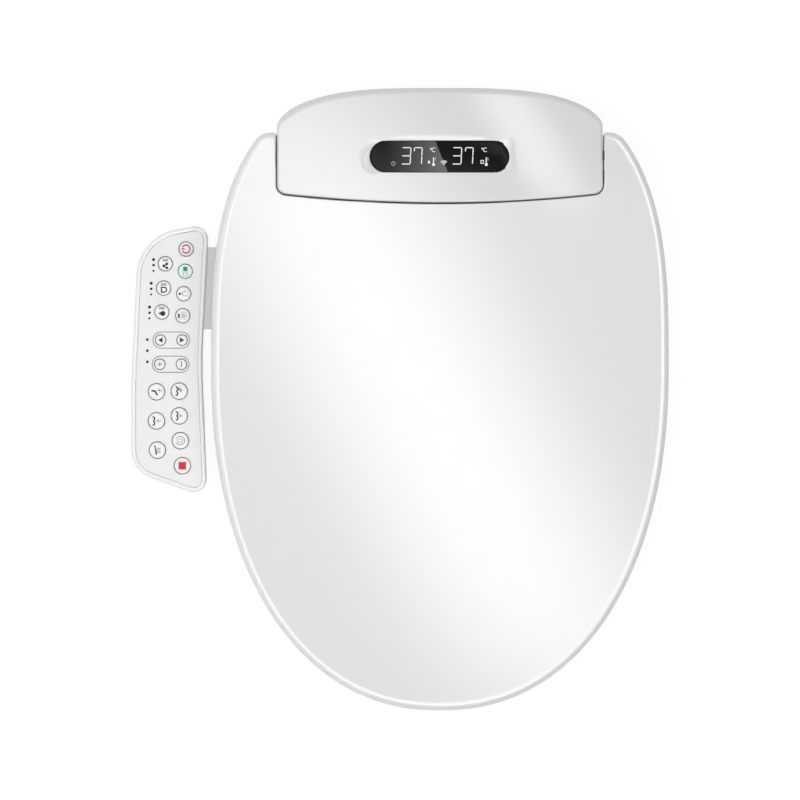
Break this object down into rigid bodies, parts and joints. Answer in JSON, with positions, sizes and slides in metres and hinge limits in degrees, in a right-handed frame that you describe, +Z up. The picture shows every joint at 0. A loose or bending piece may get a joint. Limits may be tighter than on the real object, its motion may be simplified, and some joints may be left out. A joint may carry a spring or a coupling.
{
  "type": "electric bidet seat",
  "caption": "White electric bidet seat with a soft-close lid, heated seat ring, wash wands, dryer, display window and side key panel.",
  "frame": {"origin": "midpoint between the two fixing slots, on the plane of the bowl's deck", "axes": "+Z up, -Y towards the front of the lid, -X towards the side panel"},
  "size_m": [0.4468, 0.5168, 0.0988],
  "materials": {
    "gloss_white": "high gloss white ABS",
    "case_white": "satin white",
    "seat_white": "gloss white polypropylene",
    "panel_white": "satin gloss white",
    "panel_face": "printed film, very light grey",
    "key_white": "light grey with ring outline",
    "window_black": "smoked black window",
    "arm_grey": "satin light grey",
    "grey_plastic": "moulded light grey",
    "dark_plastic": "moulded black",
    "circuit_green": "solder mask green",
    "inlet_brass": "machined",
    "hose_clear": "milky silicone",
    "light_lens": "milky lens",
    "screw_steel": "zinc plated",
    "wand_white": "gloss white",
    "foot_rubber": "grey elastomer",
    "heater_foil": "foil"
  },
  "bodies": {
    "base": {"mounting_plate": "grey_plastic", "lower_case": "case_white", "rear_cover": "gloss_white", "display_lens": "window_black", "display_board": "circuit_green", "main_board": "circuit_green", "water_inlet": "inlet_brass", "inlet_valve": "dark_plastic", "water_heater": "grey_plastic", "flow_selector": "dark_plastic", "inner_hoses": "hose_clear", "blower_case": "dark_plastic", "dryer_duct": "grey_plastic", "deodoriser_case": "dark_plastic", "nozzle_cradle": "grey_plastic", "wand_motors": "dark_plastic", "seat_damper": "dark_plastic", "lid_damper": "dark_plastic", "cable_gland": "dark_plastic", "night_light": "light_lens", "case_screws": "screw_steel", "side_arm": "arm_grey", "panel_base": "panel_white", "panel_cover": "panel_white", "panel_overlay": "panel_face", "key_board": "circuit_green", "panel_screws": "screw_steel"},
    "seat": {"seat_top": "seat_white", "seat_bottom": "seat_white", "seat_heater": "heater_foil", "seat_feet": "foot_rubber"},
    "lid": {"lid_shell": "gloss_white", "lid_buffers": "foot_rubber"},
    "rear_wand_body": {"rear_wand": "wand_white"},
    "front_wand_body": {"front_wand": "wand_white"},
    "rear_gear_body": {"rear_gear": "grey_plastic"},
    "front_gear_body": {"front_gear": "grey_plastic"},
    "wheel": {"blower_wheel": "grey_plastic"},
    "flap": {"dryer_flap": "case_white"},
    "filter": {"deodoriser_filter": "grey_plastic"},
    "button": {"release_button": "grey_plastic"},
    "key_power_body": {"key_power": "key_white"},
    "key_eco_body": {"key_eco": "key_white"},
    "key_light_body": {"key_light": "key_white"},
    "key_flush_body": {"key_flush": "key_white"},
    "key_air_body": {"key_air": "key_white"},
    "key_seat_body": {"key_seat": "key_white"},
    "key_water_body": {"key_water": "key_white"},
    "key_up_body": {"key_up": "key_white"},
    "key_down_body": {"key_down": "key_white"},
    "key_plus_body": {"key_plus": "key_white"},
    "key_minus_body": {"key_minus": "key_white"},
    "key_front_wash_body": {"key_front_wash": "key_white"},
    "key_rear_wash_body": {"key_rear_wash": "key_white"},
    "key_self_clean_body": {"key_self_clean": "key_white"},
    "key_dry_body": {"key_dry": "key_white"},
    "key_assist_body": {"key_assist": "key_white"},
    "key_child_body": {"key_child": "key_white"},
    "key_stop_body": {"key_stop": "key_white"}
  },
  "joints": [
    {"name": "seat_hinge", "type": "hinge", "parent": "base", "child": "seat", "pos_m": [0, 0.006, 0.078], "axis": [1, 0, 0], "range_deg": [-95, 0]},
    {"name": "lid_hinge", "type": "hinge", "parent": "seat", "child": "lid", "pos_m": [0, 0.006, 0.078], "axis": [-1, 0, 0], "range_deg": [0, 105]},
    {"name": "rear_wand_slide", "type": "slide", "parent": "base", "child": "rear_wand_body", "axis": [0, -0.866, -0.5], "range_m": [0, 0.07]},
    {"name": "front_wand_slide", "type": "slide", "parent": "base", "child": "front_wand_body", "axis": [0, -0.866, -0.5], "range_m": [0, 0.07]},
    {"name": "rear_gear_spin", "type": "hinge", "parent": "base", "child": "rear_gear_body", "pos_m": [-0.0222, -0.04497, 0.04], "axis": [0, -0.5, 0.866], "range_deg": [-840, 0]},
    {"name": "front_gear_spin", "type": "hinge", "parent": "base", "child": "front_gear_body", "pos_m": [0.0222, -0.04497, 0.04], "axis": [0, -0.5, 0.866], "range_deg": [0, 840]},
    {"name": "blower_spin", "type": "hinge", "parent": "base", "child": "wheel", "pos_m": [0.062, 0.027, 0.0285], "axis": [0, 1, 0], "continuous": true},
    {"name": "flap_hinge", "type": "hinge", "parent": "base", "child": "flap", "pos_m": [0, -0.0992, 0.0201], "axis": [-1, 0, 0], "range_deg": [0, 55]},
    {"name": "filter_slide", "type": "slide", "parent": "base", "child": "filter", "axis": [1, 0, 0], "range_m": [0, 0.014]},
    {"name": "button_slide", "type": "slide", "parent": "base", "child": "button", "axis": [-1, 0, 0], "range_m": [0, 0.0015], "stiffness_N_per_m": 400, "springref_m": -0.002},
    {"name": "key_power_press", "type": "slide", "parent": "base", "child": "key_power_body", "axis": [0, 0, -1], "range_m": [0, 0.0008], "stiffness_N_per_m": 300, "springref_m": -0.0005},
    {"name": "key_eco_press", "type": "slide", "parent": "base", "child": "key_eco_body", "axis": [0, 0, -1], "range_m": [0, 0.0008], "stiffness_N_per_m": 300, "springref_m": -0.0005},
    {"name": "key_light_press", "type": "slide", "parent": "base", "child": "key_light_body", "axis": [0, 0, -1], "range_m": [0, 0.0008], "stiffness_N_per_m": 300, "springref_m": -0.0005},
    {"name": "key_flush_press", "type": "slide", "parent": "base", "child": "key_flush_body", "axis": [0, 0, -1], "range_m": [0, 0.0008], "stiffness_N_per_m": 300, "springref_m": -0.0005},
    {"name": "key_air_press", "type": "slide", "parent": "base", "child": "key_air_body", "axis": [0, 0, -1], "range_m": [0, 0.0008], "stiffness_N_per_m": 300, "springref_m": -0.0005},
    {"name": "key_seat_press", "type": "slide", "parent": "base", "child": "key_seat_body", "axis": [0, 0, -1], "range_m": [0, 0.0008], "stiffness_N_per_m": 300, "springref_m": -0.0005},
    {"name": "key_water_press", "type": "slide", "parent": "base", "child": "key_water_body", "axis": [0, 0, -1], "range_m": [0, 0.0008], "stiffness_N_per_m": 300, "springref_m": -0.0005},
    {"name": "key_up_press", "type": "slide", "parent": "base", "child": "key_up_body", "axis": [0, 0, -1], "range_m": [0, 0.0008], "stiffness_N_per_m": 300, "springref_m": -0.0005},
    {"name": "key_down_press", "type": "slide", "parent": "base", "child": "key_down_body", "axis": [0, 0, -1], "range_m": [0, 0.0008], "stiffness_N_per_m": 300, "springref_m": -0.0005},
    {"name": "key_plus_press", "type": "slide", "parent": "base", "child": "key_plus_body", "axis": [0, 0, -1], "range_m": [0, 0.0008], "stiffness_N_per_m": 300, "springref_m": -0.0005},
    {"name": "key_minus_press", "type": "slide", "parent": "base", "child": "key_minus_body", "axis": [0, 0, -1], "range_m": [0, 0.0008], "stiffness_N_per_m": 300, "springref_m": -0.0005},
    {"name": "key_front_wash_press", "type": "slide", "parent": "base", "child": "key_front_wash_body", "axis": [0, 0, -1], "range_m": [0, 0.0008], "stiffness_N_per_m": 300, "springref_m": -0.0005},
    {"name": "key_rear_wash_press", "type": "slide", "parent": "base", "child": "key_rear_wash_body", "axis": [0, 0, -1], "range_m": [0, 0.0008], "stiffness_N_per_m": 300, "springref_m": -0.0005},
    {"name": "key_self_clean_press", "type": "slide", "parent": "base", "child": "key_self_clean_body", "axis": [0, 0, -1], "range_m": [0, 0.0008], "stiffness_N_per_m": 300, "springref_m": -0.0005},
    {"name": "key_dry_press", "type": "slide", "parent": "base", "child": "key_dry_body", "axis": [0, 0, -1], "range_m": [0, 0.0008], "stiffness_N_per_m": 300, "springref_m": -0.0005},
    {"name": "key_assist_press", "type": "slide", "parent": "base", "child": "key_assist_body", "axis": [0, 0, -1], "range_m": [0, 0.0008], "stiffness_N_per_m": 300, "springref_m": -0.0005},
    {"name": "key_child_press", "type": "slide", "parent": "base", "child": "key_child_body", "axis": [0, 0, -1], "range_m": [0, 0.0008], "stiffness_N_per_m": 300, "springref_m": -0.0005},
    {"name": "key_stop_press", "type": "slide", "parent": "base", "child": "key_stop_body", "axis": [0, 0, -1], "range_m": [0, 0.0008], "stiffness_N_per_m": 300, "springref_m": -0.0005}
  ],
  "couplings": [
    {"joint": "rear_gear_spin", "follows": "rear_wand_slide", "rad_per_m": -208.33},
    {"joint": "front_gear_spin", "follows": "front_wand_slide", "rad_per_m": 208.33}
  ]
}
